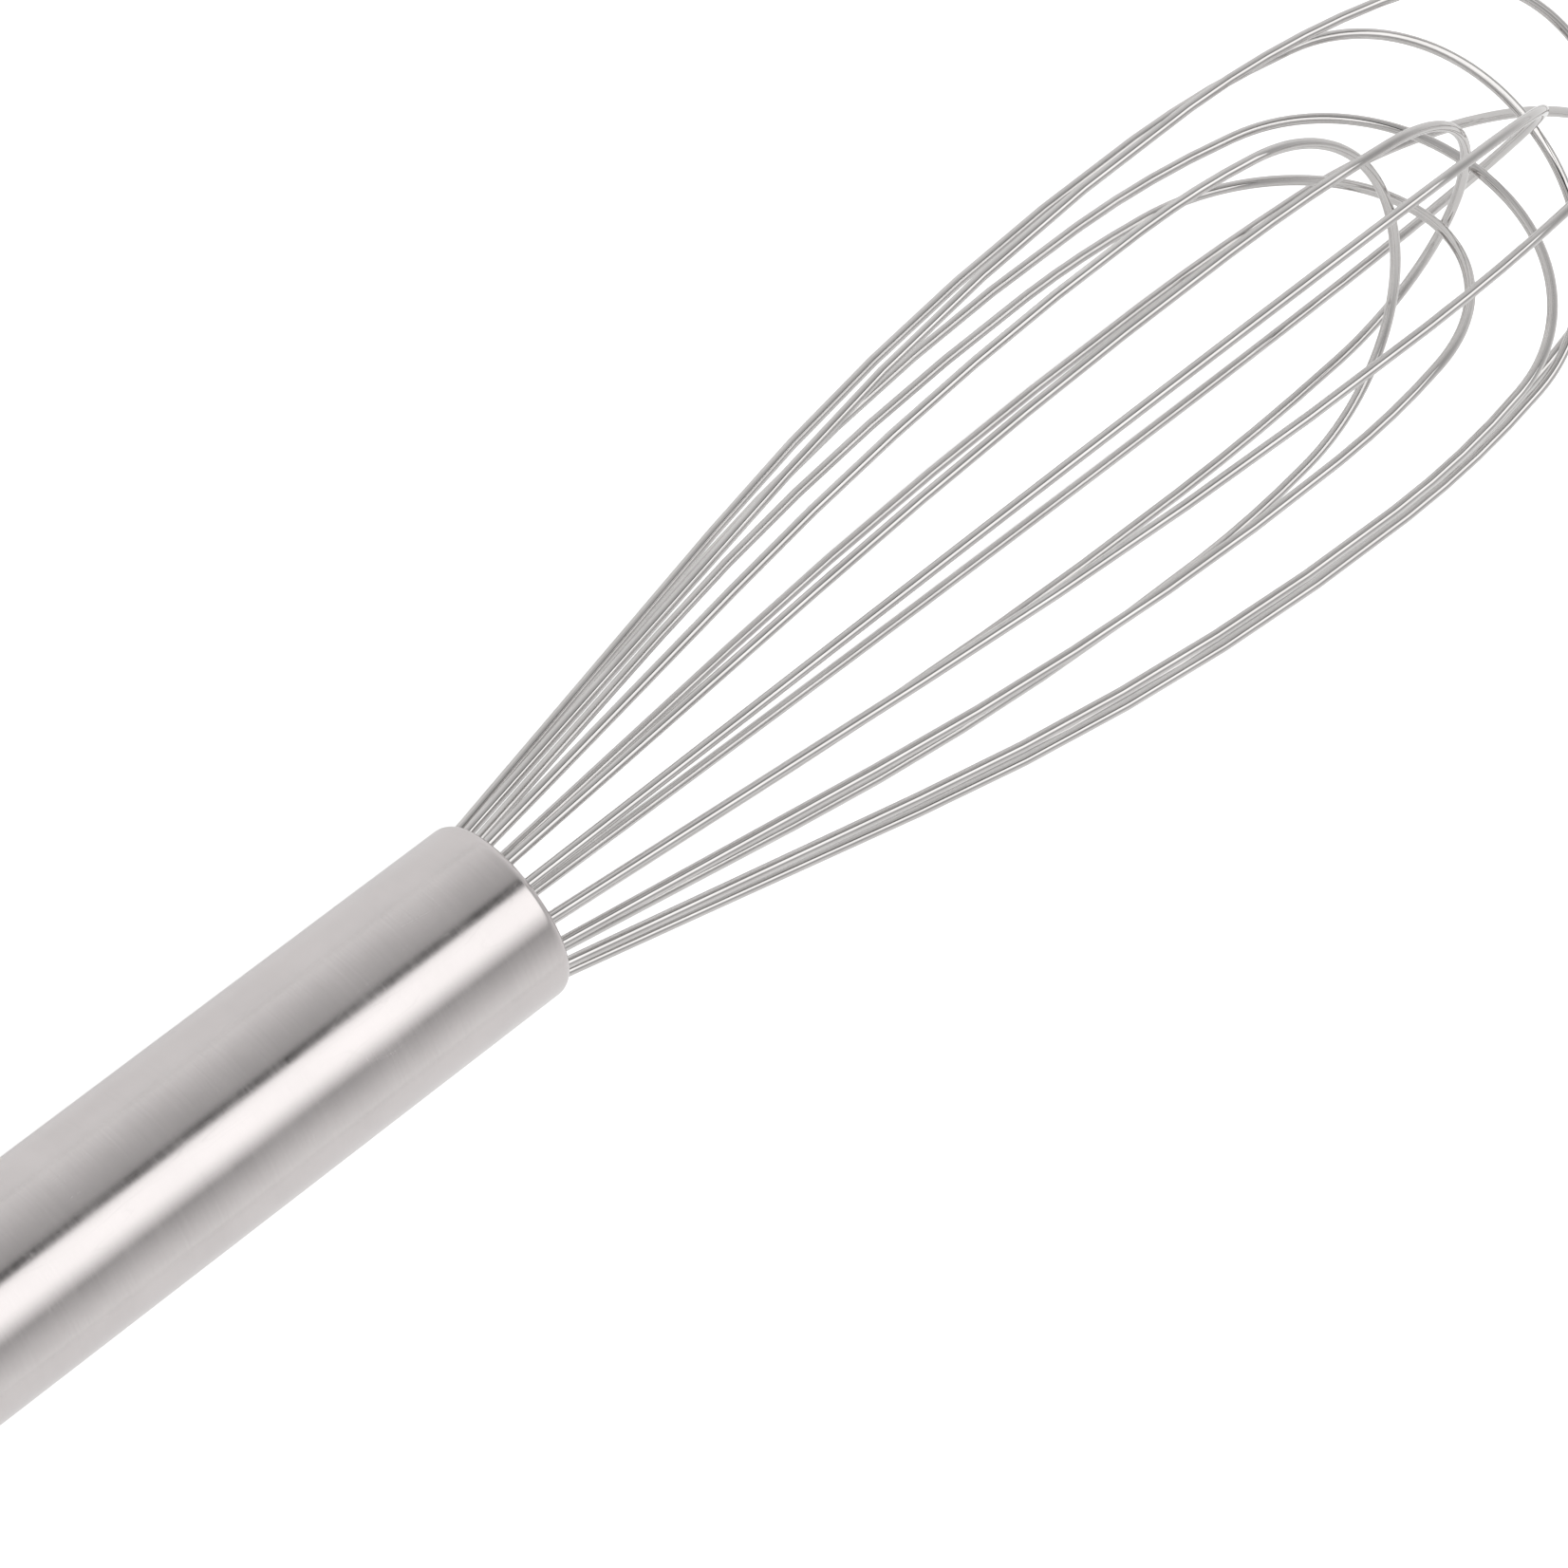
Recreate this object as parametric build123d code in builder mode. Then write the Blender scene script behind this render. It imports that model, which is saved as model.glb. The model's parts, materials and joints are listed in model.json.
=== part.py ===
"""Balloon whisk, all stainless steel, 305 mm (12 in) from the rear cap to the balloon's tip.

Eight spring-wire loops of different heights stand in a sealed steel tube that is the handle.
The whisk lies at rest on a level surface at z = 0: the rear edge of the handle and the lowest
two wires of the balloon touch it, so the whisk's own axis rises towards the balloon.
Frame: +X towards the balloon, +Z up, origin at the bottom centre of the whole object.
Stations along the whisk are measured from the front rim of the handle, positive to the balloon.
"""

from build123d import *
from math import cos, radians, sin, tan
import os

os.makedirs("parts", exist_ok=True)

# ---------------------------------------------------------------- driving dimensions (mm, degrees)
handle_r = 11.0  # outside radius of the handle tube
handle_length = 124.0  # front rim to the seam with the rear cap
tube_wall = 0.5
lip_r = 1.5  # outside radius of the inward roll at the handle's mouth
lip_turn = 45.0  # how far the roll turns the tube's edge inward

wire_r = 0.65
root_circle_r = 9.1  # circle on which the legs stand in the handle
root_end = -21.0  # station where the wires end inside the handle
exit_station = -0.6  # station where the legs start to spread
exit_bend_r = 3.0
hip_share = 0.50  # corner below the widest point, as a share of the loop's height
shoulder_share = 0.80  # corner above the widest point, as a share of the loop's height
arc_share = 0.98  # share of each run that its arcs may use

# One row a loop, each with two legs: height of the crown above the rim, half width, flat half
# width of the crown as a share of the half width, how far the crown sits to one side of the
# axis, and the loop's turn round the axis. Sprung wire set by hand is neither even nor true.
loops = [
    (175.0, 27.8, 0.66, -0.8, 10.8),
    (139.6, 24.6, 0.79, 0.2, 35.5),
    (151.4, 23.4, 0.75, -0.1, 56.3),
    (161.3, 26.46, 0.76, 0.0, 76.6),
    (167.0, 26.57, 0.80, -0.3, 103.8),
    (144.2, 25.6, 0.79, -3.1, 125.4),
    (153.8, 25.7, 0.77, 2.0, 148.3),
    (163.5, 26.8, 0.79, 0.5, 171.7),
]

wire_play = 0.02  # radial play of a leg in its holes
plug_front = -1.6  # stations of the pieces packed into the handle's mouth
plug_thickness = 3.0
seal_length = 13.4
anchor_thickness = 2.0

cap_r = 5.5  # outside radius of the rear cap's rounded edge
skirt_length = 8.0
skirt_wall = 0.7  # the cap's sheet is this and the tube's wall together

stem_r = 2.0  # eye bolt, M4
stem_play = 0.05
flange_r = 4.0
flange_thickness = 1.0
eye_r = 3.75
eye_thickness = 2.6
eye_reach = 4.8  # flange's rear face to the centre of the eye
eye_hole_r = 1.3
washer_r = 4.5
washer_thickness = 0.8
nut_flats = 7.0
nut_height = 3.2
stem_spare = 1.2  # stem beyond the nut

ring_r = 8.4  # centre line radius of the hanging ring
ring_wire_r = 1.0

rest_tilt = 3.86  # rise of the whisk's axis when it lies on a table

# ---------------------------------------------------------------- stations and the whisk's planes
cap_face = -handle_length - cap_r
eye_centre = cap_face - flange_thickness - eye_reach
ring_centre = eye_centre - ring_r
tip_station = loops[0][0] + wire_r
rear_station = ring_centre - ring_r - ring_wire_r

# The rear lower edge of the handle touches z = 0, and x = 0 is half way along the whole object.
axis_height = handle_r * cos(radians(rest_tilt)) + handle_length * sin(radians(rest_tilt))
front_x = -(tip_station + rear_station) / 2 * cos(radians(rest_tilt))

whisk = Plane(
    origin=(front_x, 0, axis_height),
    x_dir=(0, 1, 0),
    z_dir=(cos(radians(rest_tilt)), 0, sin(radians(rest_tilt))),
)
section = Plane(origin=whisk.origin, x_dir=whisk.x_dir, z_dir=-whisk.y_dir)  # half section
centre_line = Axis(whisk.origin, whisk.z_dir)


def bend(before, corner, after, tangent):
    """Radius of the arc that takes up a given length of the runs on each side of a corner."""
    turn = (corner - before).get_angle(after - corner)
    return tangent / tan(radians(turn / 2))


def on_arc(centre, radius, degrees):
    """Point of an arc in the half section: 0 degrees is outward, 90 is towards the balloon."""
    return (
        centre[0] + radius * cos(radians(degrees)),
        centre[1] + radius * sin(radians(degrees)),
    )


# ---------------------------------------------------------------- handle tube, its mouth rolled in
tube_inner_r = handle_r - tube_wall
lip_inner_r = lip_r - tube_wall
lip_centre = (handle_r - lip_r, -lip_r * sin(radians(lip_turn)))
tube_rear_edge = (tube_inner_r, -handle_length)

with BuildPart() as handle_tube:
    with BuildSketch(section):
        with BuildLine():
            Line(tube_rear_edge, (handle_r, -handle_length))
            Line((handle_r, -handle_length), on_arc(lip_centre, lip_r, 0))
            ThreePointArc(
                on_arc(lip_centre, lip_r, 0),
                on_arc(lip_centre, lip_r, lip_turn / 2),
                on_arc(lip_centre, lip_r, lip_turn),
            )
            Line(
                on_arc(lip_centre, lip_r, lip_turn),
                on_arc(lip_centre, lip_inner_r, lip_turn),
            )
            ThreePointArc(
                on_arc(lip_centre, lip_inner_r, lip_turn),
                on_arc(lip_centre, lip_inner_r, lip_turn / 2),
                on_arc(lip_centre, lip_inner_r, 0),
            )
            Line(on_arc(lip_centre, lip_inner_r, 0), tube_rear_edge)
        make_face()
    revolve(axis=centre_line)
handle_tube.part.label = "handle_tube"
export_step(handle_tube.part, "parts/handle_tube.step")

# ---------------------------------------------------------------- the stack that holds the wires
# A steel plug closes the mouth, sealing resin fills the tube behind it, and a steel disc holds
# the wires' ends in their circle. All three are drilled for the same sixteen legs.
stack = [
    ("mouth_plug", plug_front, plug_thickness),
    ("sealing_resin", plug_front - plug_thickness, seal_length),
    ("anchor_disc", plug_front - plug_thickness - seal_length, anchor_thickness),
]
for name, front, thickness in stack:
    with BuildPart() as drilled_disc:
        with BuildSketch(whisk.offset(front - thickness)):
            Circle(tube_inner_r)
            for *outline, turn in loops:
                with PolarLocations(root_circle_r, 2, start_angle=turn):
                    Circle(wire_r + wire_play, mode=Mode.SUBTRACT)
        extrude(amount=thickness)
    drilled_disc.part.label = name
    export_step(drilled_disc.part, f"parts/{name}.step")

# ---------------------------------------------------------------- eight wire loops
# Each loop is one wire: a straight root in the handle, a straight leg, one long bulge past the
# hip, a tighter shoulder, the crown, and the same way back down. Every arc runs into the next.
for number, (height, half_width, crown_share, offset, turn) in enumerate(loops, start=1):
    outward = whisk.x_dir * cos(radians(turn)) + whisk.y_dir * sin(radians(turn))
    loop_plane = Plane(
        origin=whisk.origin, x_dir=outward, z_dir=outward.cross(whisk.z_dir)
    )
    hip = hip_share * height
    shoulder = shoulder_share * height
    crown = crown_share * half_width

    corners = []
    radii = []
    for side in (1, -1):
        root = Vector(side * root_circle_r, root_end)
        exit_corner = Vector(side * root_circle_r, exit_station)
        hip_corner = Vector(side * half_width + offset * hip_share, hip)
        shoulder_corner = Vector(side * half_width + offset * shoulder_share, shoulder)
        crown_corner = Vector(side * crown + offset, height)
        crown_middle = Vector(offset, height)

        shoulder_run = (crown_corner - shoulder_corner).length - crown
        hip_run = (shoulder_corner - hip_corner).length - shoulder_run
        half_outline = [root, exit_corner, hip_corner, shoulder_corner, crown_corner]
        half_radii = [
            exit_bend_r,
            bend(exit_corner, hip_corner, shoulder_corner, arc_share * hip_run),
            bend(hip_corner, shoulder_corner, crown_corner, arc_share * shoulder_run),
            bend(shoulder_corner, crown_corner, crown_middle, arc_share * crown),
        ]
        corners += half_outline[::side]
        radii += half_radii[::side]

    with BuildPart() as wire_loop:
        with BuildLine(loop_plane) as path:
            FilletPolyline(*[tuple(corner) for corner in corners], radius=radii)
        with BuildSketch(Plane(origin=path.line @ 0, z_dir=path.line % 0)):
            Circle(wire_r)
        sweep(path=path.line)
    wire_loop.part.label = f"wire_loop_{number}"
    export_step(wire_loop.part, f"parts/wire_loop_{number}.step")

# ---------------------------------------------------------------- rear cap, drawn from sheet
# Its rounded edge ends flush with the tube, and its skirt stands inside the tube.
skirt_inner_r = tube_inner_r - skirt_wall
skirt_end = -handle_length + skirt_length
cap_centre = (handle_r - cap_r, -handle_length)
cap_inner_r = cap_r - tube_wall - skirt_wall
cap_inner_face = cap_face + cap_r - cap_inner_r
stem_hole_r = stem_r + stem_play

with BuildPart() as rear_cap:
    with BuildSketch(section):
        with BuildLine():
            Line((stem_hole_r, cap_face), on_arc(cap_centre, cap_r, -90))
            ThreePointArc(
                on_arc(cap_centre, cap_r, -90),
                on_arc(cap_centre, cap_r, -45),
                on_arc(cap_centre, cap_r, 0),
            )
            Line(on_arc(cap_centre, cap_r, 0), tube_rear_edge)
            Line(tube_rear_edge, (tube_inner_r, skirt_end))
            Line((tube_inner_r, skirt_end), (skirt_inner_r, skirt_end))
            Line((skirt_inner_r, skirt_end), on_arc(cap_centre, cap_inner_r, 0))
            ThreePointArc(
                on_arc(cap_centre, cap_inner_r, 0),
                on_arc(cap_centre, cap_inner_r, -45),
                on_arc(cap_centre, cap_inner_r, -90),
            )
            Line(on_arc(cap_centre, cap_inner_r, -90), (stem_hole_r, cap_inner_face))
            Line((stem_hole_r, cap_inner_face), (stem_hole_r, cap_face))
        make_face()
    revolve(axis=centre_line)
rear_cap.part.label = "rear_cap"
export_step(rear_cap.part, "parts/rear_cap.step")

# ---------------------------------------------------------------- eye bolt through the cap
washer_front = cap_inner_face + washer_thickness
stem_end = washer_front + nut_height + stem_spare

with BuildPart() as hang_eye:
    with BuildSketch(whisk.offset(cap_face - flange_thickness)):
        Circle(flange_r)
    extrude(amount=flange_thickness)
    with BuildSketch(whisk.offset(cap_face)):
        Circle(stem_r)
    extrude(amount=stem_end - cap_face)
    with BuildSketch(section):
        with Locations((0, eye_centre)):
            Circle(eye_r)
        with Locations((0, eye_centre + eye_reach / 2)):
            Rectangle(2 * eye_r, eye_reach)
        with Locations((0, eye_centre)):
            Circle(eye_hole_r, mode=Mode.SUBTRACT)
    extrude(amount=eye_thickness / 2, both=True)
hang_eye.part.label = "hang_eye"
export_step(hang_eye.part, "parts/hang_eye.step")

with BuildPart() as eye_washer:
    with BuildSketch(whisk.offset(cap_inner_face)):
        Circle(washer_r)
        Circle(stem_hole_r, mode=Mode.SUBTRACT)
    extrude(amount=washer_thickness)
eye_washer.part.label = "eye_washer"
export_step(eye_washer.part, "parts/eye_washer.step")

with BuildPart() as eye_nut:
    with BuildSketch(whisk.offset(washer_front)):
        RegularPolygon(nut_flats / 2, 6, major_radius=False)
        Circle(stem_r + wire_play, mode=Mode.SUBTRACT)
    extrude(amount=nut_height)
eye_nut.part.label = "eye_nut"
export_step(eye_nut.part, "parts/eye_nut.step")

# ---------------------------------------------------------------- hanging ring, loose in the eye
ring_plane = Plane(
    origin=whisk.origin + whisk.z_dir * ring_centre, x_dir=whisk.z_dir, z_dir=whisk.x_dir
)

with BuildPart(ring_plane) as hanging_ring:
    Torus(ring_r, ring_wire_r)
hanging_ring.part.label = "hanging_ring"
export_step(hanging_ring.part, "parts/hanging_ring.step")
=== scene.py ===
# %% [markdown]
# # A balloon whisk in bright and satin steel
#
# The engineering model already says what the whisk is: a tube handle, eight sprung wire loops,
# the packing that holds them, and a ring to hang it by. This lesson gives those pieces their
# finished surfaces: round where the model has flats, softened edges, and real steel finishes.
# Places are measured from the frame, in metres, so no piece has to be fitted afterwards. The wire
# loops' shapes and turns are written out again here, and each bent wire is compared with the
# frame's own.

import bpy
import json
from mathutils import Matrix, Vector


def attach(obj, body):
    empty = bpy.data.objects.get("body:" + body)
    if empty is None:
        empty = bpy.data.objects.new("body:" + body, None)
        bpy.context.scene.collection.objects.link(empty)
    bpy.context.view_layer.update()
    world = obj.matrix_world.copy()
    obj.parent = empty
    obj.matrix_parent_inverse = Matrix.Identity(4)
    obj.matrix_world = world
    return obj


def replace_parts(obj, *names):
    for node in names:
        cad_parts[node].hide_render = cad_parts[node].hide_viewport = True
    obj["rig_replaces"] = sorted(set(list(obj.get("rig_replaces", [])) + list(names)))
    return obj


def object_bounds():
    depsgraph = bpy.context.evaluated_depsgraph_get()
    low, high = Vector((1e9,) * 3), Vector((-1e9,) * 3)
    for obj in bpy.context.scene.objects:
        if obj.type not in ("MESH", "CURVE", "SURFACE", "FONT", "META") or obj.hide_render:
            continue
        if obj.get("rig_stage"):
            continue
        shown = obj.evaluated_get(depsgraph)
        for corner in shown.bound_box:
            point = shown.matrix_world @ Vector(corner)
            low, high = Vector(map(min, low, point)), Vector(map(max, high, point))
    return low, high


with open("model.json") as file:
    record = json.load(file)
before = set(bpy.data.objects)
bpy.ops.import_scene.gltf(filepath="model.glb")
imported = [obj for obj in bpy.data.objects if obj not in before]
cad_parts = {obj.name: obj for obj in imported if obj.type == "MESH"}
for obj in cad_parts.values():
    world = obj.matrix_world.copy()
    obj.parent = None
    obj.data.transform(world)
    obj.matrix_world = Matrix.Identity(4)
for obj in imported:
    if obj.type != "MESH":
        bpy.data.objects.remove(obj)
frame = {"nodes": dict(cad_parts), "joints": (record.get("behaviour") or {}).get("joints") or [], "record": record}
cad_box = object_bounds()
print("pieces in the frame:", sorted(frame["nodes"]))

# %% The other modules
import json
from math import ceil, cos, degrees, pi, radians, sin, tan

import bmesh
import bpy
from mathutils import Matrix, Vector
from mathutils.bvhtree import BVHTree

MM = 0.001

# %% [markdown]
# ## The whisk's own axes
#
# A whisk doesn't lie level: its balloon is fatter than its handle, so its axis rises. Nearly
# every piece is round about that axis. It is far easier to draw them standing on a plain Z axis
# and to carry the finished mesh over in one step, so this cell builds that one matrix. Z runs
# from the ring to the balloon with zero at the handle's mouth, X is the whisk's left, Y is up.

# %% Find the axis, the mouth and the matrix that carries a piece into place
grip = next(mount for mount in frame["record"]["mounts"] if mount["name"] == "grip")
axis = -Vector(grip["axis"]).normalized()
grip_middle = Vector(grip["pos_m"])
left = Vector((0, 1, 0))
upward = axis.cross(left)


def span(node):
    """Lowest and highest station of a CAD node along the axis, from the middle of the grip."""
    along = [(vertex.co - grip_middle).dot(axis) for vertex in frame["nodes"][node].data.vertices]
    return min(along), max(along)


mouth = grip_middle + axis * span("handle_tube")[1]
place = Matrix.Translation(mouth) @ Matrix((left, upward, axis)).transposed().to_4x4()
unplace = place.inverted()
print("mouth of the handle (mm):", [round(value / MM, 2) for value in mouth])
print("axis rises (degrees):", round(degrees(axis.angle(Vector((1, 0, 0)))), 2))

# %% Stations of the pieces, measured from the mouth
mouth_station = span("handle_tube")[1]
station = {node: [end - mouth_station for end in span(node)] for node in frame["nodes"]}
for node in ("handle_tube", "rear_cap", "mouth_plug", "hang_eye", "hanging_ring"):
    print(node, "from", round(station[node][0] / MM, 2), "to", round(station[node][1] / MM, 2), "mm")

# %% [markdown]
# ## Small tools for the bench
#
# Three helpers cover most of the work. `turn_on_lathe` spins a closed outline round the axis,
# as a lathe or a spinning chuck does. `soften` breaks the sharp corners, because no steel edge
# that a hand touches is left sharp, and it is the softened edge that catches the light.
# `put_in_place` carries the mesh into the whisk's place and hangs it on its body.


# %% Turn an outline into a round piece
def turn_on_lathe(outline, steps=160):
    """Spins a closed outline of (radius, station) points once round the Z axis."""
    piece = bmesh.new()
    points = [piece.verts.new((radius, 0, height)) for radius, height in outline]
    sides = [piece.edges.new(pair) for pair in zip(points, points[1:] + points[:1])]
    bmesh.ops.spin(
        piece,
        geom=points + sides,
        cent=(0, 0, 0),
        axis=(0, 0, 1),
        angle=2 * pi,
        steps=steps,
        use_merge=True,
    )
    bmesh.ops.remove_doubles(piece, verts=piece.verts, dist=0.001 * MM)
    on_axis = [edge for edge in piece.edges if not edge.link_faces]
    bmesh.ops.delete(piece, geom=on_axis, context="EDGES")
    bmesh.ops.recalc_face_normals(piece, faces=piece.faces)
    return piece


def arc(centre, radius, start, end, steps=8):
    """Points of a round stretch of an outline, between two angles in degrees."""
    turns = [radians(start + (end - start) * step / steps) for step in range(steps + 1)]
    return [(centre[0] + radius * cos(turn), centre[1] + radius * sin(turn)) for turn in turns]


# %% Break the sharp corners
def soften(piece, width, sharper_than=30, segments=3, clamp=True):
    """Bevels every edge whose faces meet at more than an angle in degrees."""
    sharp = [
        edge
        for edge in piece.edges
        if len(edge.link_faces) == 2 and edge.calc_face_angle() > radians(sharper_than)
    ]
    bmesh.ops.bevel(
        piece,
        geom=sharp,
        offset=width,
        offset_type="OFFSET",
        affect="EDGES",
        segments=segments,
        profile=0.5,
        material=-1,
        clamp_overlap=clamp,
    )
    bmesh.ops.dissolve_degenerate(piece, dist=0.003 * MM, edges=piece.edges)


# %% Carry a piece into place
def put_in_place(piece, name, body, stands_for, flat_above=35):
    """Makes the object, in the row's frame, riding on its body and standing for its CAD node."""
    bmesh.ops.transform(piece, matrix=place, verts=piece.verts)
    mesh = bpy.data.meshes.new(name)
    piece.to_mesh(mesh)
    piece.free()
    mesh.shade_smooth()
    mesh.set_sharp_from_angle(angle=radians(flat_above))
    thing = bpy.data.objects.new(name, mesh)
    bpy.context.scene.collection.objects.link(thing)
    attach(thing, body)
    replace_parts(thing, stands_for)
    print(name, len(mesh.polygons), "faces")
    return thing


# %% [markdown]
# ## The handle's tube
#
# The handle is a thin stainless tube whose mouth is rolled inwards, so that no raw edge meets
# the hand and the wires' packing can't come out. It could be a cylinder with a bevel, but then
# the roll and the sheet's own thickness at the mouth would be missing, and the mouth is the one
# place where everyone looks. Drawing the true section and spinning it gives both.

# %% Roll the tube's mouth and turn it
tube_radius = grip["dims"]["r_mm"] * MM
sheet = 0.5 * MM
roll_radius = 1.5 * MM
roll_turn = 45
tube_rear = station["handle_tube"][0]
roll_centre = (tube_radius - roll_radius, -roll_radius * sin(radians(roll_turn)))

tube_outline = [(tube_radius - sheet, tube_rear), (tube_radius, tube_rear)]
tube_outline += arc(roll_centre, roll_radius, 0, roll_turn, 5)
tube_outline += arc(roll_centre, roll_radius - sheet, roll_turn, 0, 5)
tube = turn_on_lathe(tube_outline)
soften(tube, 0.13 * MM)
handle = put_in_place(tube, "handle_shell", "whisk", "handle_tube")

# %% [markdown]
# ## The cap that closes the rear
#
# The rear end is a cup drawn from sheet, pushed into the tube and polished flush with it. All
# that shows of the joint is a hairline where the two softened edges meet, so the cap and the
# tube are each given their own small bevel and the hairline makes itself.

# %% Draw the cap
cap_face = station["rear_cap"][0]
cap_round = tube_rear - cap_face
cap_sheet = 1.2 * MM
cap_centre = (tube_radius - cap_round, tube_rear)
skirt_end = station["rear_cap"][1]
stem_hole = 2.05 * MM

cap_outline = [(stem_hole, cap_face)]
cap_outline += arc(cap_centre, cap_round, -90, 0, 12)
cap_outline += [(tube_radius - sheet, tube_rear), (tube_radius - sheet, skirt_end)]
cap_outline += [(tube_radius - cap_sheet, skirt_end)]
cap_outline += arc(cap_centre, cap_round - cap_sheet, 0, -90, 12)
cap_outline += [(stem_hole, cap_face + cap_sheet)]
cap = turn_on_lathe(cap_outline)
soften(cap, 0.16 * MM)
end_cap = put_in_place(cap, "end_cap", "whisk", "rear_cap")

# %% [markdown]
# ## The plug in the mouth
#
# Inside the rolled mouth sits a drilled steel plug, and resin has crept up round each leg and
# set in a small fillet. The plug is turned with a slightly dished face. The fillets are little
# cones of resin, one a leg, worked into the plug's own piece: their faces take the piece's
# second material, the resin.

# %% Turn the plug and set a fillet round each leg
# Each wire loop's turn round the axis in degrees. Its two legs stand on opposite sides.
loop_turns = (10.8, 35.5, 56.3, 76.6, 103.8, 125.4, 148.3, 171.7)
leg_circle = 9.1 * MM
wire_radius = 0.65 * MM
plug_radius = tube_radius - sheet
plug_rear, plug_front = station["mouth_plug"]
dish = 0.25 * MM
fillet_reach = 0.45 * MM
fillet_height = 0.5 * MM
wire_play = 0.02 * MM

plug = turn_on_lathe(
    [
        (0, plug_rear),
        (plug_radius, plug_rear),
        (plug_radius, plug_front),
        (0.6 * plug_radius, plug_front - 0.7 * dish),
        (0, plug_front - dish),
    ]
)
for leg_turn in loop_turns + tuple(turn + 180 for turn in loop_turns):
    fillet = bmesh.ops.create_cone(
        plug,
        cap_ends=True,
        segments=24,
        radius1=wire_radius + fillet_reach,
        radius2=wire_radius + wire_play,
        depth=fillet_height,
    )
    leg = radians(leg_turn)
    spot = Vector((leg_circle * cos(leg), leg_circle * sin(leg), plug_front))
    bmesh.ops.translate(plug, vec=spot, verts=fillet["verts"])
    for face in {face for vertex in fillet["verts"] for face in vertex.link_faces}:
        face.material_index = 1
mouth_seal = put_in_place(plug, "mouth_seal", "whisk", "mouth_plug")

# %% [markdown]
# ## The eight wire loops
#
# Each loop is one length of hard-drawn spring wire. The maker bends it round formers: a small
# one where it leaves the handle, a very large one for the long belly, a smaller one at the
# shoulder and a small one on each side of the crown. This cell does the same. A circle is the
# wire's section; extruding it runs the wire straight, and spinning it about a former's centre
# bends it. A swept curve would look alike, but its bends would not be true arcs.
#
# Every vertex also keeps a note, "drawn", of where it lies round the wire and how far along.
# The wire's finish has fine lines that run lengthwise, and only such a note can follow a bend.

# %% Run and bend a wire
wire_sides = 24
bend_step = 3


def start_wire(root, across):
    """A bmesh with the wire's end circle, its open edges, and the note of place on the wire."""
    piece = bmesh.new()
    note = piece.verts.layers.float_vector.new("drawn")
    ends = bmesh.ops.create_circle(piece, segments=wire_sides, radius=wire_radius)["verts"]
    for vertex in ends:
        vertex[note] = (vertex.co.x / wire_radius, vertex.co.y / wire_radius, 0)
    facing = Matrix((across, Vector((0, 0, 1)).cross(across), Vector((0, 0, 1)))).transposed()
    bmesh.ops.transform(piece, matrix=Matrix.Translation(root) @ facing.to_4x4(), verts=ends)
    return piece, note, list(piece.edges)


def note_length(piece, note, first_new, start, run):
    """Writes how far along the wire each new ring of vertices is."""
    new = list(piece.verts)[first_new:]
    rings = len(new) // wire_sides
    for index, vertex in enumerate(new):
        reached = start + run * (index // wire_sides + 1) / rings
        vertex[note] = (vertex[note][0], vertex[note][1], reached)


def run_straight(piece, note, ring, vector, length):
    """Extrudes the wire's open end along a vector."""
    first_new = len(piece.verts)
    grown = bmesh.ops.extrude_edge_only(piece, edges=ring)["geom"]
    moved = [item for item in grown if isinstance(item, bmesh.types.BMVert)]
    bmesh.ops.translate(piece, vec=vector, verts=moved)
    note_length(piece, note, first_new, length, vector.length)
    edges = [item for item in grown if isinstance(item, bmesh.types.BMEdge)]
    return [edge for edge in edges if len(edge.link_faces) == 1]


def bend_round(piece, note, ring, centre, normal, turn, length, radius):
    """Spins the wire's open end round a former."""
    first_new = len(piece.verts)
    steps = max(2, ceil(abs(degrees(turn)) / bend_step))
    bent = bmesh.ops.spin(
        piece, geom=ring, cent=centre, axis=normal, angle=turn, steps=steps, use_merge=False
    )["geom_last"]
    note_length(piece, note, first_new, length, abs(turn) * radius)
    return [item for item in bent if isinstance(item, bmesh.types.BMEdge)]


# %% [markdown]
# A loop's outline is drawn as straight runs between corners, and each corner is then rounded by
# an arc that uses up the run on both sides of it. The corners follow from four sizes a loop:
# how high the crown stands, half the loop's width, how much of that the crown keeps, and how
# far the crown sits off the axis. The loops are nested, so no two heights are alike, and no
# loop stands quite true, because sprung wire set by hand never does.

# %% Sizes of the loops (mm, except the shares)
loops = [
    (175.0, 27.8, 0.66, -0.8),
    (139.6, 24.6, 0.79, 0.2),
    (151.4, 23.4, 0.75, -0.1),
    (161.3, 26.46, 0.76, 0.0),
    (167.0, 26.57, 0.80, -0.3),
    (144.2, 25.6, 0.79, -3.1),
    (153.8, 25.7, 0.77, 2.0),
    (163.5, 26.8, 0.79, 0.5),
]
root_end = -21 * MM
exit_station = -0.6 * MM
exit_bend = 3 * MM
hip_share = 0.50
shoulder_share = 0.80
arc_share = 0.98


# %% Set out the corners of a loop
def half_loop(height, half_width, crown_share, offset, side):
    """Corners of one side in (across, along), each with the run its arc takes up, or None."""
    crown = crown_share * half_width
    corners = [
        Vector((side * leg_circle, root_end)),
        Vector((side * leg_circle, exit_station)),
        Vector((side * half_width + offset * hip_share, hip_share * height)),
        Vector((side * half_width + offset * shoulder_share, shoulder_share * height)),
        Vector((side * crown + offset, height)),
    ]
    shoulder_run = (corners[4] - corners[3]).length - crown
    hip_run = (corners[3] - corners[2]).length - shoulder_run
    turn = (corners[1] - corners[0]).angle(corners[2] - corners[1])
    exit_run = exit_bend * tan(turn / 2)
    takes = [None, exit_run, arc_share * hip_run, arc_share * shoulder_run, arc_share * crown]
    return list(zip(corners, takes))


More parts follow.
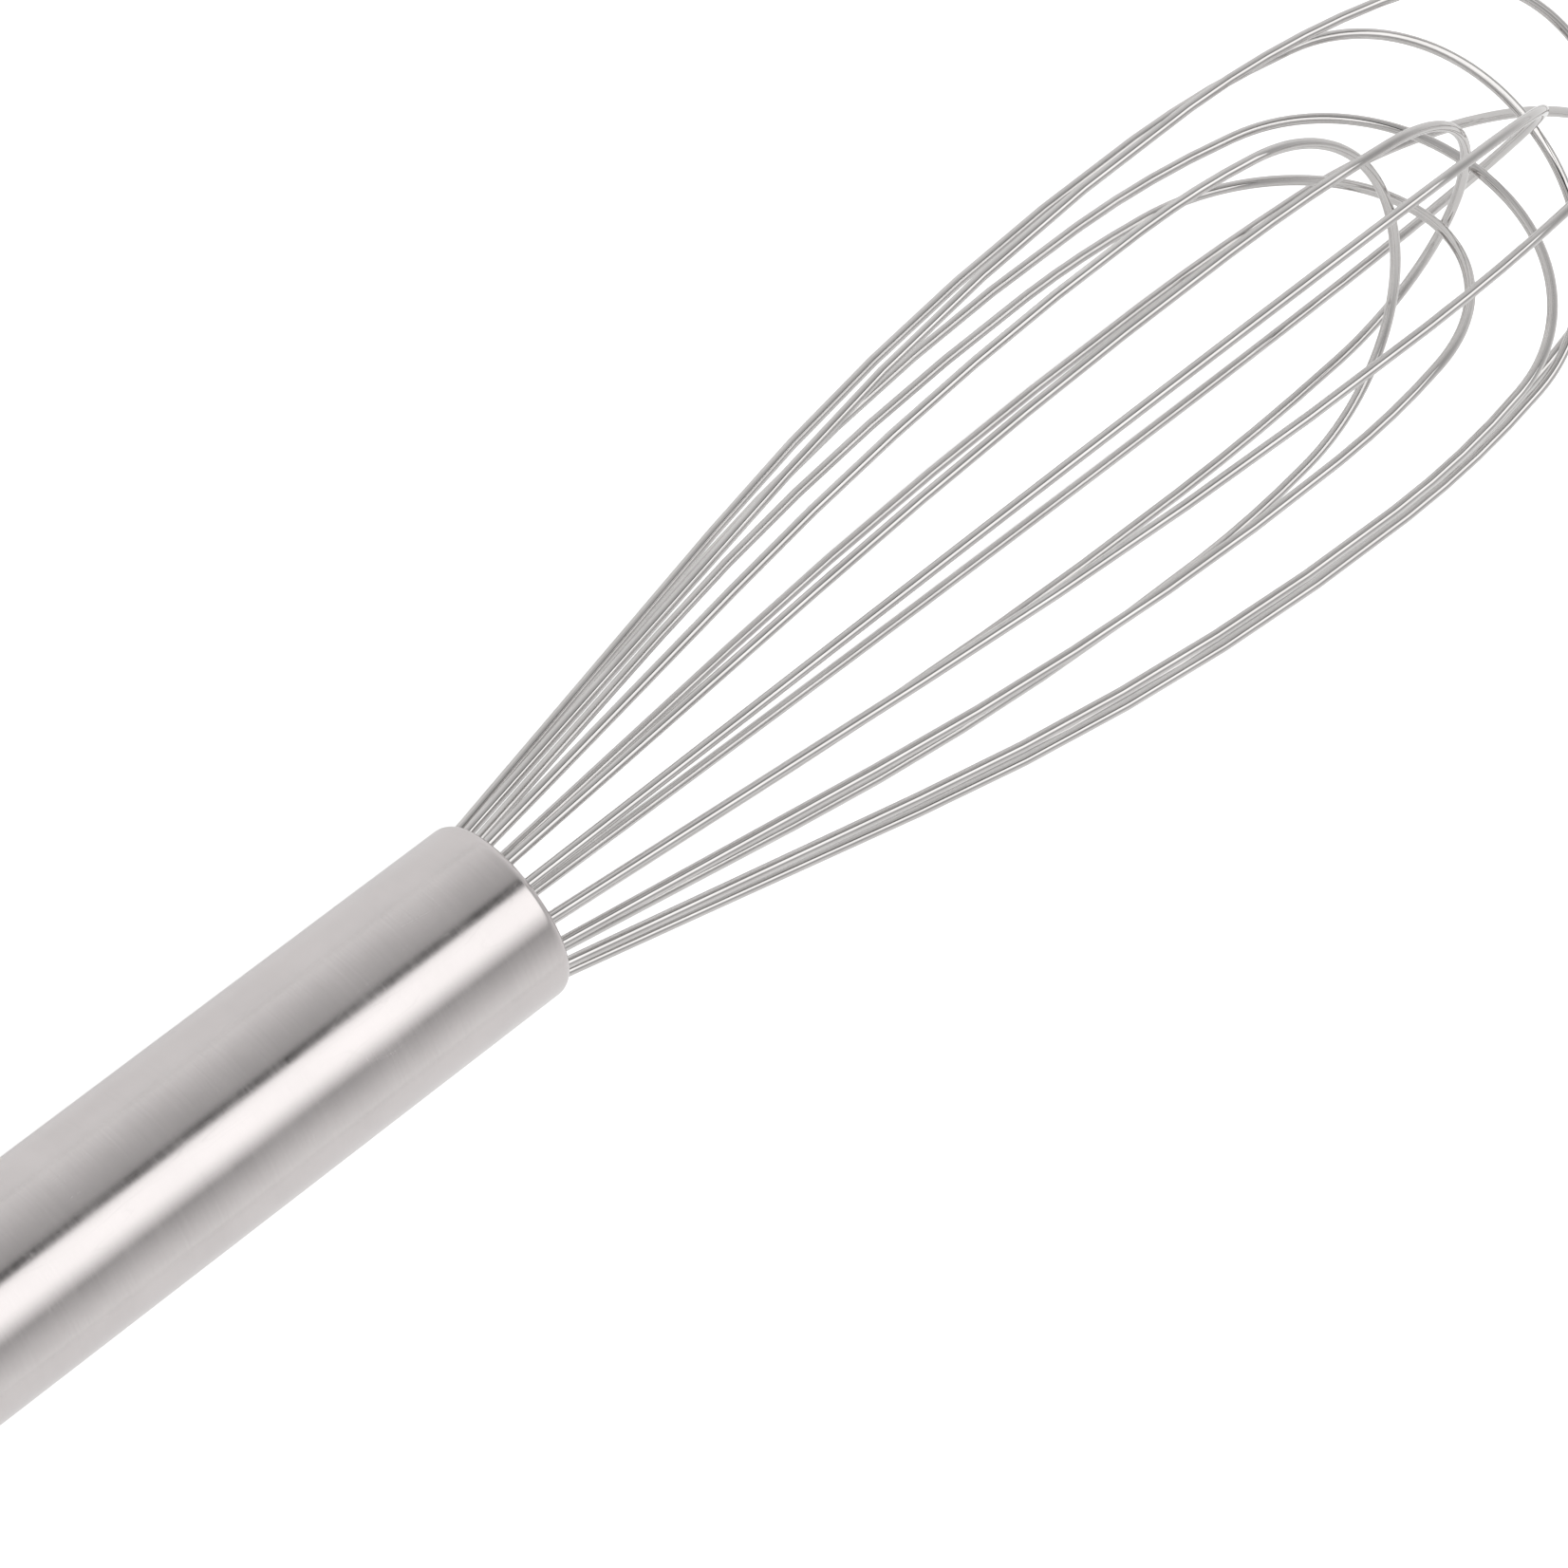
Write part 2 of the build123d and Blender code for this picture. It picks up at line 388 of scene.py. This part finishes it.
# %% Bend the eight loops
def bend_loop(turned, height, half_width, crown_share, offset):
    """One loop as a bmesh, bent in its own plane through the axis."""
    across = Vector((cos(radians(turned)), sin(radians(turned)), 0))
    along = Vector((0, 0, 1))
    sizes = (height * MM, half_width * MM, crown_share, offset * MM)
    route = half_loop(*sizes, 1) + half_loop(*sizes, -1)[::-1]

    corners = [across * corner.x + along * corner.y for corner, take in route]
    takes = [take for corner, take in route]
    here = corners[0]
    piece, note, ring = start_wire(here, across)
    length = 0
    for before, corner, after, take in zip(corners, corners[1:], corners[2:], takes[1:]):
        inward = (corner - before).normalized()
        outward = (after - corner).normalized()
        straight = (corner - inward * take) - here
        ring = run_straight(piece, note, ring, straight, length)
        length += straight.length
        here += straight
        turn = inward.angle(outward)
        radius = take / tan(turn / 2)
        normal = inward.cross(outward).normalized()
        centre = here + normal.cross(inward) * radius
        ring = bend_round(piece, note, ring, centre, normal, turn, length, radius)
        length += turn * radius
        here = corner + outward * take
    run_straight(piece, note, ring, corners[-1] - here, length)
    bmesh.ops.holes_fill(piece, edges=[edge for edge in piece.edges if edge.is_boundary])
    bmesh.ops.recalc_face_normals(piece, faces=piece.faces)
    return piece


balloon = []
for number, (turned, sizes) in enumerate(zip(loop_turns, loops), start=1):
    node = f"wire_loop_{number}"
    wire = bend_loop(turned, *sizes)
    balloon.append(put_in_place(wire, f"spring_{node}", "whisk", node))

# %% See how closely the bent wires follow the frame
for wire in balloon:
    node = frame["nodes"][wire["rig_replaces"][0]]
    reference = BVHTree.FromPolygons(
        [vertex.co for vertex in node.data.vertices], [face.vertices for face in node.data.polygons]
    )
    away = max(reference.find_nearest(vertex.co)[3] for vertex in wire.data.vertices)
    print(wire.name, "is at most", round(away / MM, 3), "mm from the frame's wire")

# %% [markdown]
# ## The eye and the ring
#
# The whisk hangs from a loose ring in an eye bolt. The eye is a small forging with every edge
# rounded, on a turned flange. Its cheek is an outline with a hole, filled by bridging the two
# edges, and then thickened. The ring is wire again, closed by a butt weld that has been dressed
# almost flush: a slight swelling, on the side away from the eye.

# %% Forge the eye
eye_radius = 3.75 * MM
eye_hole = 1.3 * MM
eye_thickness = 2.6 * MM
flange_radius = 4 * MM
flange_rear = cap_face - 1 * MM
eye_station = (unplace @ Vector(frame["joints"][0]["pos_m"])).z
eye_steps = 64
into_flange = 0.7 * MM
neck = flange_rear - eye_station + into_flange
neck_spread = 1.6  # how fast the round outline widens into the cheek's straight sides

flange_outline = [
    (0, flange_rear),
    (flange_radius, flange_rear),
    (flange_radius, cap_face),
    (0, cap_face),
]
eye = turn_on_lathe(flange_outline)
soften(eye, 0.3 * MM)

cheek = bmesh.new()
bmesh.ops.create_circle(cheek, segments=eye_steps, radius=eye_hole)
rim = bmesh.ops.create_circle(cheek, segments=eye_steps, radius=eye_radius)["verts"]
for vertex in rim:
    if vertex.co.y > 0:
        vertex.co.x = max(-eye_radius, min(eye_radius, vertex.co.x * neck_spread))
        vertex.co.y = neck if abs(vertex.co.x) < eye_radius else vertex.co.y
bmesh.ops.bridge_loops(cheek, edges=cheek.edges)
bmesh.ops.solidify(cheek, geom=cheek.faces, thickness=eye_thickness)
bmesh.ops.recalc_face_normals(cheek, faces=cheek.faces)
soften(cheek, 0.6 * MM, sharper_than=40, segments=6, clamp=False)
upright = Matrix.Rotation(radians(90), 4, "X")
stand = Matrix.Translation((0, -eye_thickness / 2, eye_station)) @ upright
bmesh.ops.transform(cheek, matrix=stand, verts=cheek.verts)
cheek_mesh = bpy.data.meshes.new("cheek")
cheek.to_mesh(cheek_mesh)
eye.from_mesh(cheek_mesh)
hanging_eye = put_in_place(eye, "forged_eye", "whisk", "hang_eye")
for face in hanging_eye.data.polygons:
    face.use_smooth = abs(face.normal.dot(upward)) < 0.999  # the two flats stay flat

# %% Bend and weld the ring
ring_wire = 1.0 * MM
ring_rear, ring_front = station["hanging_ring"]
ring_radius = (ring_front - ring_rear) / 2 - ring_wire
ring_station = (ring_front + ring_rear) / 2
weld_swell = 0.06
weld_half_angle = 7

loose_ring = bmesh.new()
bmesh.ops.create_circle(loose_ring, segments=32, radius=ring_wire)
bmesh.ops.translate(loose_ring, vec=(ring_radius, 0, 0), verts=loose_ring.verts)
bmesh.ops.rotate(
    loose_ring, cent=(0, 0, 0), matrix=Matrix.Rotation(radians(90), 3, "X"), verts=loose_ring.verts
)
bmesh.ops.spin(
    loose_ring,
    geom=list(loose_ring.verts) + list(loose_ring.edges),
    cent=(0, 0, 0),
    axis=(0, 0, 1),
    angle=2 * pi,
    steps=180,
    use_merge=True,
)
for vertex in loose_ring.verts:
    flat = Vector((vertex.co.x, vertex.co.y, 0))
    off_weld = degrees(flat.angle(Vector((0, -1, 0)))) / weld_half_angle
    if off_weld < 1:
        middle = flat.normalized() * ring_radius
        vertex.co = middle + (vertex.co - middle) * (1 + weld_swell * cos(off_weld * pi / 2) ** 2)
bmesh.ops.recalc_face_normals(loose_ring, faces=loose_ring.faces)
stand_ring = Matrix.Translation((0, 0, ring_station)) @ upright
turn_up = Matrix.Rotation(radians(90), 4, "Z")
bmesh.ops.transform(loose_ring, matrix=turn_up @ stand_ring, verts=loose_ring.verts)
swing_ring = put_in_place(loose_ring, "welded_ring", "ring", "hanging_ring")

# %% [markdown]
# ## Steel, and what makes it look like steel
#
# Metal has almost no colour of its own: it is a mirror with a tint, and its finish is in the
# small unevenness of that mirror. So each steel here is the same metal with a different skin.
# The tube has been polished on a belt while it turned, which leaves hair-fine rings round it.
# The wire was pulled through a die, which leaves lines along it. The small parts were turned,
# then tumbled bright. Effects that several finishes share are node groups, built once below.

# %% Node helpers
def add_node(tree, kind, settings=None, **values):
    """A node with its settings, and each input given a value or linked from a socket."""
    made = tree.nodes.new(kind)
    for name, value in (settings or {}).items():
        setattr(made, name, value)
    for name, value in values.items():
        entry = made.inputs[name.replace("_", " ")]
        if isinstance(value, bpy.types.NodeSocket):
            tree.links.new(value, entry)
        else:
            entry.default_value = value
    return made


def combine(tree, operation, first, second=0.0):
    """A Math node on two values or sockets."""
    made = tree.nodes.new("ShaderNodeMath")
    made.operation = operation
    for entry, value in zip(made.inputs, (first, second)):
        if isinstance(value, bpy.types.NodeSocket):
            tree.links.new(value, entry)
        else:
            entry.default_value = value
    return made.outputs[0]


def add_share(tree, value, extra, share):
    """A value with a share of another added to it."""
    return combine(tree, "ADD", value, combine(tree, "MULTIPLY", extra, share))


def scaled(tree, vector, factors):
    """A Mapping node that only stretches a vector."""
    return add_node(tree, "ShaderNodeMapping", Vector=vector, Scale=factors).outputs["Vector"]


def noise(tree, vector, scale=1.0, detail=2.0, roughness=0.5):
    """The grey value of a noise texture."""
    made = add_node(
        tree, "ShaderNodeTexNoise", Vector=vector, Scale=scale, Detail=detail, Roughness=roughness
    )
    return made.outputs["Fac"]


def spread(tree, value, low, high, to_low=0.0, to_high=1.0):
    """Maps one range of values on to another, and holds it there."""
    made = add_node(tree, "ShaderNodeMapRange", Value=value)
    bounds = {"From Min": low, "From Max": high, "To Min": to_low, "To Max": to_high}
    for name, bound in bounds.items():
        if isinstance(bound, bpy.types.NodeSocket):
            tree.links.new(bound, made.inputs[name])
        else:
            made.inputs[name].default_value = bound
    return made.outputs["Result"]


def start_group(name, inputs, outputs):
    """An empty node group with named number inputs and outputs."""
    group = bpy.data.node_groups.new(name, "ShaderNodeTree")
    for title, value in inputs.items():
        entry = group.interface.new_socket(title, in_out="INPUT", socket_type="NodeSocketFloat")
        entry.default_value = value
    for title in outputs:
        group.interface.new_socket(title, in_out="OUTPUT", socket_type="NodeSocketFloat")
    given = group.nodes.new("NodeGroupInput").outputs
    result = group.nodes.new("NodeGroupOutput").inputs
    return group, given, result


def whisk_coordinates(tree):
    """Object coordinates seen from the handle's mouth, with Z along the whisk."""
    here = add_node(tree, "ShaderNodeTexCoord").outputs["Object"]
    made = add_node(tree, "ShaderNodeMapping", {"vector_type": "TEXTURE"}, Vector=here, Location=mouth)
    made.inputs["Rotation"].default_value = place.to_euler()
    return made.outputs["Vector"]


# %% [markdown]
# ### Grain in rings
#
# A fine belt leaves rings that are long round the tube and very short along it. Two noises are
# enough: both are squeezed hard along the axis, one finer than the other. A wave texture would
# be simpler, but its rings would be evenly spaced, which no belt leaves.

# %% Group: ring grain
ring_grain, given, result = start_group("ring grain", {"Rings per mm": 6.0, "Length": 60.0}, ["Grain"])
along_scale = combine(ring_grain, "DIVIDE", given["Rings per mm"], MM)
round_scale = combine(ring_grain, "DIVIDE", along_scale, given["Length"])
stretch = add_node(ring_grain, "ShaderNodeCombineXYZ", X=round_scale, Y=round_scale, Z=along_scale)
lines = scaled(ring_grain, whisk_coordinates(ring_grain), stretch.outputs["Vector"])
coarse = noise(ring_grain, lines, 1.0, 3.0, 0.6)
fine = noise(ring_grain, lines, 3.7, 2.0, 0.6)
coarse_part = combine(ring_grain, "MULTIPLY", coarse, 0.6)
fine_part = combine(ring_grain, "MULTIPLY", fine, 0.4)
mixed = combine(ring_grain, "ADD", coarse_part, fine_part)
ring_grain.links.new(mixed, result["Grain"])
print("ring grain:", len(ring_grain.nodes), "nodes")

# %% [markdown]
# ### Drawing lines along the wire
#
# The die's marks run along the wire for centimetres. The "drawn" note holds a point on the unit
# circle for the place round the wire and the length along it, so a noise of that point is
# seamless round the wire and can be drawn out along it however the wire bends.

# %% Group: drawing lines
line_sizes = {"Lines": 7.0, "Drawn out": 90.0}
drawing_lines, given, result = start_group("drawing lines", line_sizes, ["Grain"])
drawn = add_node(drawing_lines, "ShaderNodeAttribute", {"attribute_name": "drawn"}).outputs["Vector"]
sizes = {"X": given["Lines"], "Y": given["Lines"], "Z": given["Drawn out"]}
stretch = add_node(drawing_lines, "ShaderNodeCombineXYZ", **sizes)
lines = scaled(drawing_lines, drawn, stretch.outputs["Vector"])
drawing_lines.links.new(noise(drawing_lines, lines, 1.0, 4.0, 0.65), result["Grain"])
print("drawing lines:", len(drawing_lines.nodes), "nodes")

# %% [markdown]
# ### Handling marks
#
# A whisk is washed and dried often. What is left is not dirt but a faint unevenness: cloudy
# patches a few millimetres wide, and hairline scratches that lie every way. Both are only ever
# a slight change of gloss. The scratches are the thin zero-lines of a stretched noise.

# %% Group: handling
mark_sizes = {"Patch mm": 9.0, "Scratch": 1.0}
handling, given, result = start_group("handling", mark_sizes, ["Cloud", "Scratches"])
spot = whisk_coordinates(handling)
patch_scale = combine(handling, "DIVIDE", 1 / MM, given["Patch mm"])
cloud = noise(handling, spot, patch_scale, 4.0, 0.55)
handling.links.new(spread(handling, cloud, 0.40, 0.68), result["Cloud"])
marks = []
for lean, fineness in ((24, 260), (-38, 340)):
    turned = add_node(handling, "ShaderNodeMapping", Vector=spot)
    turned.inputs["Rotation"].default_value = (radians(lean), radians(lean / 2), radians(2 * lean))
    turned.inputs["Scale"].default_value = (fineness, fineness, fineness / 9)
    waves = noise(handling, turned.outputs["Vector"], 1.0, 1.0)
    from_zero = combine(handling, "ABSOLUTE", combine(handling, "SUBTRACT", waves, 0.5))
    marks.append(spread(handling, from_zero, 0.0, 0.006, 1.0, 0.0))
both = combine(handling, "MAXIMUM", marks[0], marks[1])
handling.links.new(combine(handling, "MULTIPLY", both, given["Scratch"]), result["Scratches"])
print("handling:", len(handling.nodes), "nodes")

# %% [markdown]
# ### Edges that have been rubbed bright
#
# Corners of the small fittings are rubbed by hooks, cloths and the other tools in the drawer.
# Pointiness is high on an outside corner, so it makes a mask for a brighter, smoother edge. A
# noise breaks the mask up, because no edge is rubbed evenly.

# %% Group: rubbed edges
rub_limits = {"Start": 0.52, "Full": 0.60}
rubbed_edges, given, result = start_group("rubbed edges", rub_limits, ["Rub"])
point = add_node(rubbed_edges, "ShaderNodeNewGeometry").outputs["Pointiness"]
rub = spread(rubbed_edges, point, given["Start"], given["Full"])
uneven = noise(rubbed_edges, whisk_coordinates(rubbed_edges), 900.0, 3.0)
patchy = spread(rubbed_edges, uneven, 0.3, 0.6, 0.4, 1.0)
rubbed_edges.links.new(combine(rubbed_edges, "MULTIPLY", rub, patchy), result["Rub"])
print("rubbed edges:", len(rubbed_edges.nodes), "nodes")


# %% [markdown]
# ## One function makes every steel
#
# Each steel mixes two tints by its grain and clouds, sets its gloss between two roughness
# values, and dents its surface by a few thousandths of a millimetre. What is the same all over,
# such as being a metal, is set on the shader itself.

# %% Put a group into a material
def use_group(tree, group, **values):
    """A group node with its inputs set."""
    made = tree.nodes.new("ShaderNodeGroup")
    made.node_tree = group
    for name, value in values.items():
        made.inputs[name.replace("_", " ")].default_value = value
    return made.outputs


def tint(tree, amount, low, high):
    """A colour between two, by a mask."""
    made = add_node(tree, "ShaderNodeMix", {"data_type": "RGBA"})
    tree.links.new(amount, made.inputs[0])
    made.inputs[6].default_value = (*low, 1)
    made.inputs[7].default_value = (*high, 1)
    return made.outputs[2]


def make_steel(name, grain_of, dark, pale, gloss, depth, scratch=1.0, patch=9.0):
    """A bare metal: tint, roughness and bump all follow its grain, its clouds and scratches."""
    material = bpy.data.materials.new(name)
    material.use_nodes = True
    tree = material.node_tree
    shader = tree.nodes["Principled BSDF"]
    shader.inputs["Metallic"].default_value = 1.0

    grain = grain_of(tree)
    marks = use_group(tree, handling, Patch_mm=patch, Scratch=scratch)
    rub = use_group(tree, rubbed_edges)["Rub"]
    shade = combine(tree, "MULTIPLY", grain, 0.6)
    shade = add_share(tree, shade, marks["Cloud"], 0.25)
    shade = add_share(tree, shade, rub, 0.5)
    tree.links.new(tint(tree, shade, dark, pale), shader.inputs["Base Color"])

    dull = spread(tree, grain, 0.3, 0.7, gloss[0], gloss[1])
    dull = add_share(tree, dull, marks["Cloud"], 0.05)
    dull = add_share(tree, dull, marks["Scratches"], 0.10)
    dull = combine(tree, "MULTIPLY", dull, spread(tree, rub, 0.0, 1.0, 1.0, 0.75))
    tree.links.new(dull, shader.inputs["Roughness"])

    height = combine(tree, "SUBTRACT", grain, combine(tree, "MULTIPLY", marks["Scratches"], 0.5))
    bump = add_node(tree, "ShaderNodeBump", Height=height, Distance=depth, Strength=1.0)
    tree.links.new(bump.outputs["Normal"], shader.inputs["Normal"])
    return material


# %% The steels of this whisk
satin_tube = make_steel(
    "satin tube steel",
    lambda tree: use_group(tree, ring_grain, Rings_per_mm=4.0, Length=45.0)["Grain"],
    dark=(0.56, 0.53, 0.525),
    pale=(0.70, 0.662, 0.656),
    gloss=(0.15, 0.22),
    depth=0.0018 * MM,
    scratch=0.4,
)
bright_wire = make_steel(
    "bright spring wire",
    lambda tree: use_group(tree, drawing_lines)["Grain"],
    dark=(0.50, 0.485, 0.475),
    pale=(0.72, 0.705, 0.695),
    gloss=(0.02, 0.05),
    depth=0.0004 * MM,
    scratch=0.3,
)
tumbled_steel = make_steel(
    "tumbled bright steel",
    lambda tree: use_group(tree, handling, Patch_mm=1.6)["Cloud"],
    dark=(0.60, 0.59, 0.58),
    pale=(0.72, 0.71, 0.70),
    gloss=(0.08, 0.13),
    depth=0.0012 * MM,
    scratch=0.6,
    patch=4.0,
)
turned_steel = make_steel(
    "turned steel",
    lambda tree: use_group(tree, ring_grain, Rings_per_mm=3.0, Length=25.0)["Grain"],
    dark=(0.46, 0.45, 0.44),
    pale=(0.66, 0.65, 0.64),
    gloss=(0.22, 0.34),
    depth=0.004 * MM,
)

# %% [markdown]
# ## Resin
#
# The packing is food-safe epoxy, poured in and left to set: slightly amber, glossy, with a few
# trapped bubbles. A little of the light goes into it, so it has some subsurface.

# %% Make the resin
def make_resin():
    """Clouded amber epoxy with small bubbles."""
    material = bpy.data.materials.new("cast resin")
    material.use_nodes = True
    tree = material.node_tree
    shader = tree.nodes["Principled BSDF"]
    spot = whisk_coordinates(tree)
    swirl = noise(tree, spot, 350.0, 5.0, 0.6)
    tree.links.new(tint(tree, swirl, (0.36, 0.27, 0.14), (0.62, 0.53, 0.36)), shader.inputs["Base Color"])
    tree.links.new(spread(tree, swirl, 0.3, 0.7, 0.12, 0.28), shader.inputs["Roughness"])
    bubbles = add_node(tree, "ShaderNodeTexVoronoi", Vector=spot, Scale=1400.0).outputs["Distance"]
    pits = spread(tree, bubbles, 0.05, 0.16)
    bump = add_node(tree, "ShaderNodeBump", Height=pits, Distance=0.02 * MM, Strength=1.0)
    tree.links.new(bump.outputs["Normal"], shader.inputs["Normal"])
    shader.inputs["Subsurface Weight"].default_value = 0.2
    shader.inputs["Subsurface Radius"].default_value = (0.002, 0.0012, 0.0006)
    return material


cast_resin = make_resin()

# %% Give every piece its finish
sealed_steel = ("anchor_disc", "eye_washer", "eye_nut")
finishes = {
    satin_tube: [handle, end_cap],
    bright_wire: balloon,
    tumbled_steel: [hanging_eye, swing_ring],
    turned_steel: [mouth_seal] + [frame["nodes"][node] for node in sealed_steel],
    cast_resin: [frame["nodes"]["sealing_resin"]],
}
for material, pieces in finishes.items():
    for piece in pieces:
        piece.data.materials.clear()
        piece.data.materials.append(material)
    print(material.name, "on", len(pieces), "pieces")
mouth_seal.data.materials.append(cast_resin)  # for the fillets' faces

# %% [markdown]
# ## The studio
#
# Polished steel shows the room, not itself, so the light is half of the finish. Overhead is a
# long soft box with one crisp edge and one feathered edge. It draws a white band down the
# handle and a bright line down each wire, with a dark line beside it from the box's black
# frame. The walls go from pale at the table to grey overhead, and each side has a card that
# lifts it a little. The table is white and glows a little, as a table lit from below does;
# where the camera sees it directly it glows much more, a painted glow that washes out the
# whisk's shadows on it. The camera looks through the soft box, so that it may also look down
# from above it.

# %% The table
table_half = 4.0
below_whisk = 0.02 * MM

table_top = bmesh.new()
bmesh.ops.create_grid(table_top, x_segments=1, y_segments=1, size=table_half)
bmesh.ops.translate(table_top, vec=(0, 0, cad_box[0].z - below_whisk), verts=table_top.verts)
table_mesh = bpy.data.meshes.new("table")
table_top.to_mesh(table_mesh)
table = bpy.data.objects.new("table", table_mesh)
bpy.context.scene.collection.objects.link(table)
table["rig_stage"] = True

table_white = bpy.data.materials.new("light table with painted glow")
table_white.use_nodes = True
tree = table_white.node_tree
shader = tree.nodes["Principled BSDF"]
shader.inputs["Roughness"].default_value = 0.9
shader.inputs["Specular IOR Level"].default_value = 0.0
shader.inputs["Base Color"].default_value = (0.86, 0.86, 0.86, 1)
shader.inputs["Emission Color"].default_value = (1, 1, 1, 1)
# Seen directly by the camera the table glows at 0.62 instead of 0.23: a painted glow that hides the whisk's
# shadows on the table.
seen = add_node(tree, "ShaderNodeLightPath").outputs["Is Camera Ray"]
tree.links.new(spread(tree, seen, 0.0, 1.0, 0.23, 0.62), shader.inputs["Emission Strength"])
table.data.materials.append(table_white)

# %% The walls
walls = bpy.data.worlds.new("studio walls")
walls.use_nodes = True
bpy.context.scene.world = walls
tree = walls.node_tree
background = tree.nodes["Background"]
toward = add_node(tree, "ShaderNodeTexCoord").outputs["Generated"]
heading = add_node(tree, "ShaderNodeSeparateXYZ", Vector=toward).outputs
wall_grey = spread(tree, heading["Z"], 0.0, 0.95, 0.92, 0.37)
fill_card = spread(tree, heading["Y"], -0.66, -0.88, 0.0, 0.12)
open_side = spread(tree, heading["Y"], 0.1, 0.4, 0.0, 0.06)
seen = add_node(tree, "ShaderNodeLightPath").outputs["Is Camera Ray"]
strength = combine(tree, "ADD", combine(tree, "ADD", wall_grey, fill_card), open_side)
strength = combine(tree, "MAXIMUM", strength, seen)
tree.links.new(strength, background.inputs["Strength"])
background.inputs["Color"].default_value = (1, 1, 1, 1)

# %% The soft box
box_height = 0.9
crisp_edge = 0.235
full_until = -0.24
feather = 0.50
frame_width = 0.19
box_middle_x = 0.15
box_half_length = 0.75
glow = 1.62
feathered_glow = 0.28
frame_glow = 0.05

soft_box = bmesh.new()
bmesh.ops.create_grid(soft_box, x_segments=1, y_segments=1, size=1.0)
far_edge = crisp_edge + frame_width
wide = far_edge - full_until + feather
bmesh.ops.scale(soft_box, vec=(box_half_length, wide / 2, 1), verts=soft_box.verts)
bmesh.ops.translate(
    soft_box, vec=(box_middle_x, far_edge - wide / 2, box_height), verts=soft_box.verts
)
bmesh.ops.reverse_faces(soft_box, faces=soft_box.faces)
box_mesh = bpy.data.meshes.new("soft_box")
soft_box.to_mesh(box_mesh)
box_lamp = bpy.data.objects.new("soft_box", box_mesh)
bpy.context.scene.collection.objects.link(box_lamp)
box_lamp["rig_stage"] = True
box_lamp.visible_camera = False

cloth = bpy.data.materials.new("soft box cloth")
cloth.use_nodes = True
tree = cloth.node_tree
tree.nodes.remove(tree.nodes["Principled BSDF"])
here = add_node(tree, "ShaderNodeTexCoord").outputs["Object"]
sideways = add_node(tree, "ShaderNodeSeparateXYZ", Vector=here).outputs["Y"]
power = spread(tree, sideways, full_until - feather, full_until, feathered_glow, glow)
on_cloth = combine(tree, "LESS_THAN", sideways, crisp_edge)
power = combine(tree, "MAXIMUM", combine(tree, "MULTIPLY", power, on_cloth), frame_glow)
lamp = add_node(tree, "ShaderNodeEmission", Strength=power)
tree.links.new(lamp.outputs["Emission"], tree.nodes["Material Output"].inputs["Surface"])
box_lamp.data.materials.append(cloth)

# %% [markdown]
# ## The camera
#
# The view is from behind and above the handle, with a long lens, close enough that the ring end
# and the tip run out of the picture. The camera is set out from the mouth of the handle: which
# side of the whisk it looks at, how far the balloon leans away, how the whisk climbs across the
# picture, and where in the picture the mouth is.

# %% Set the camera
sight_side = radians(78.75)
lean_away = radians(23.76)
climb = radians(37.54)
mouth_right = -30.13 * MM
mouth_down = 13.32 * MM
mouth_distance = 642.9 * MM
lens = 137.4

toward_camera = left * cos(sight_side) + upward * sin(sight_side)
across_sight = upward * cos(sight_side) - left * sin(sight_side)
right = (
    axis * cos(lean_away) * cos(climb)
    + across_sight * sin(climb)
    + toward_camera * sin(lean_away) * cos(climb)
)
down = (
    across_sight * cos(climb)
    - axis * cos(lean_away) * sin(climb)
    - toward_camera * sin(lean_away) * sin(climb)
)
forward = axis * sin(lean_away) - toward_camera * cos(lean_away)

camera_data = bpy.data.cameras.new("camera")
camera_data.lens = lens
camera = bpy.data.objects.new("camera", camera_data)
bpy.context.scene.collection.objects.link(camera)
turned = Matrix((right, -down, -forward)).transposed().to_4x4()
eye_point = mouth - right * mouth_right - down * mouth_down - forward * mouth_distance
camera.matrix_world = Matrix.Translation(eye_point) @ turned
bpy.context.scene.camera = camera
print("camera looks down by", round(degrees(-forward.angle(Vector((0, 0, 1))) + pi / 2)), "degrees")

# %% Plain colour response, and the last checks
bpy.context.scene.view_settings.view_transform = "Standard"
bpy.context.scene.view_settings.look = "None"

visual_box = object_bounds()
sizes = {
    "cad": [list(corner) for corner in cad_box],
    "visual": [list(corner) for corner in visual_box],
}
print("boxes:", sizes)
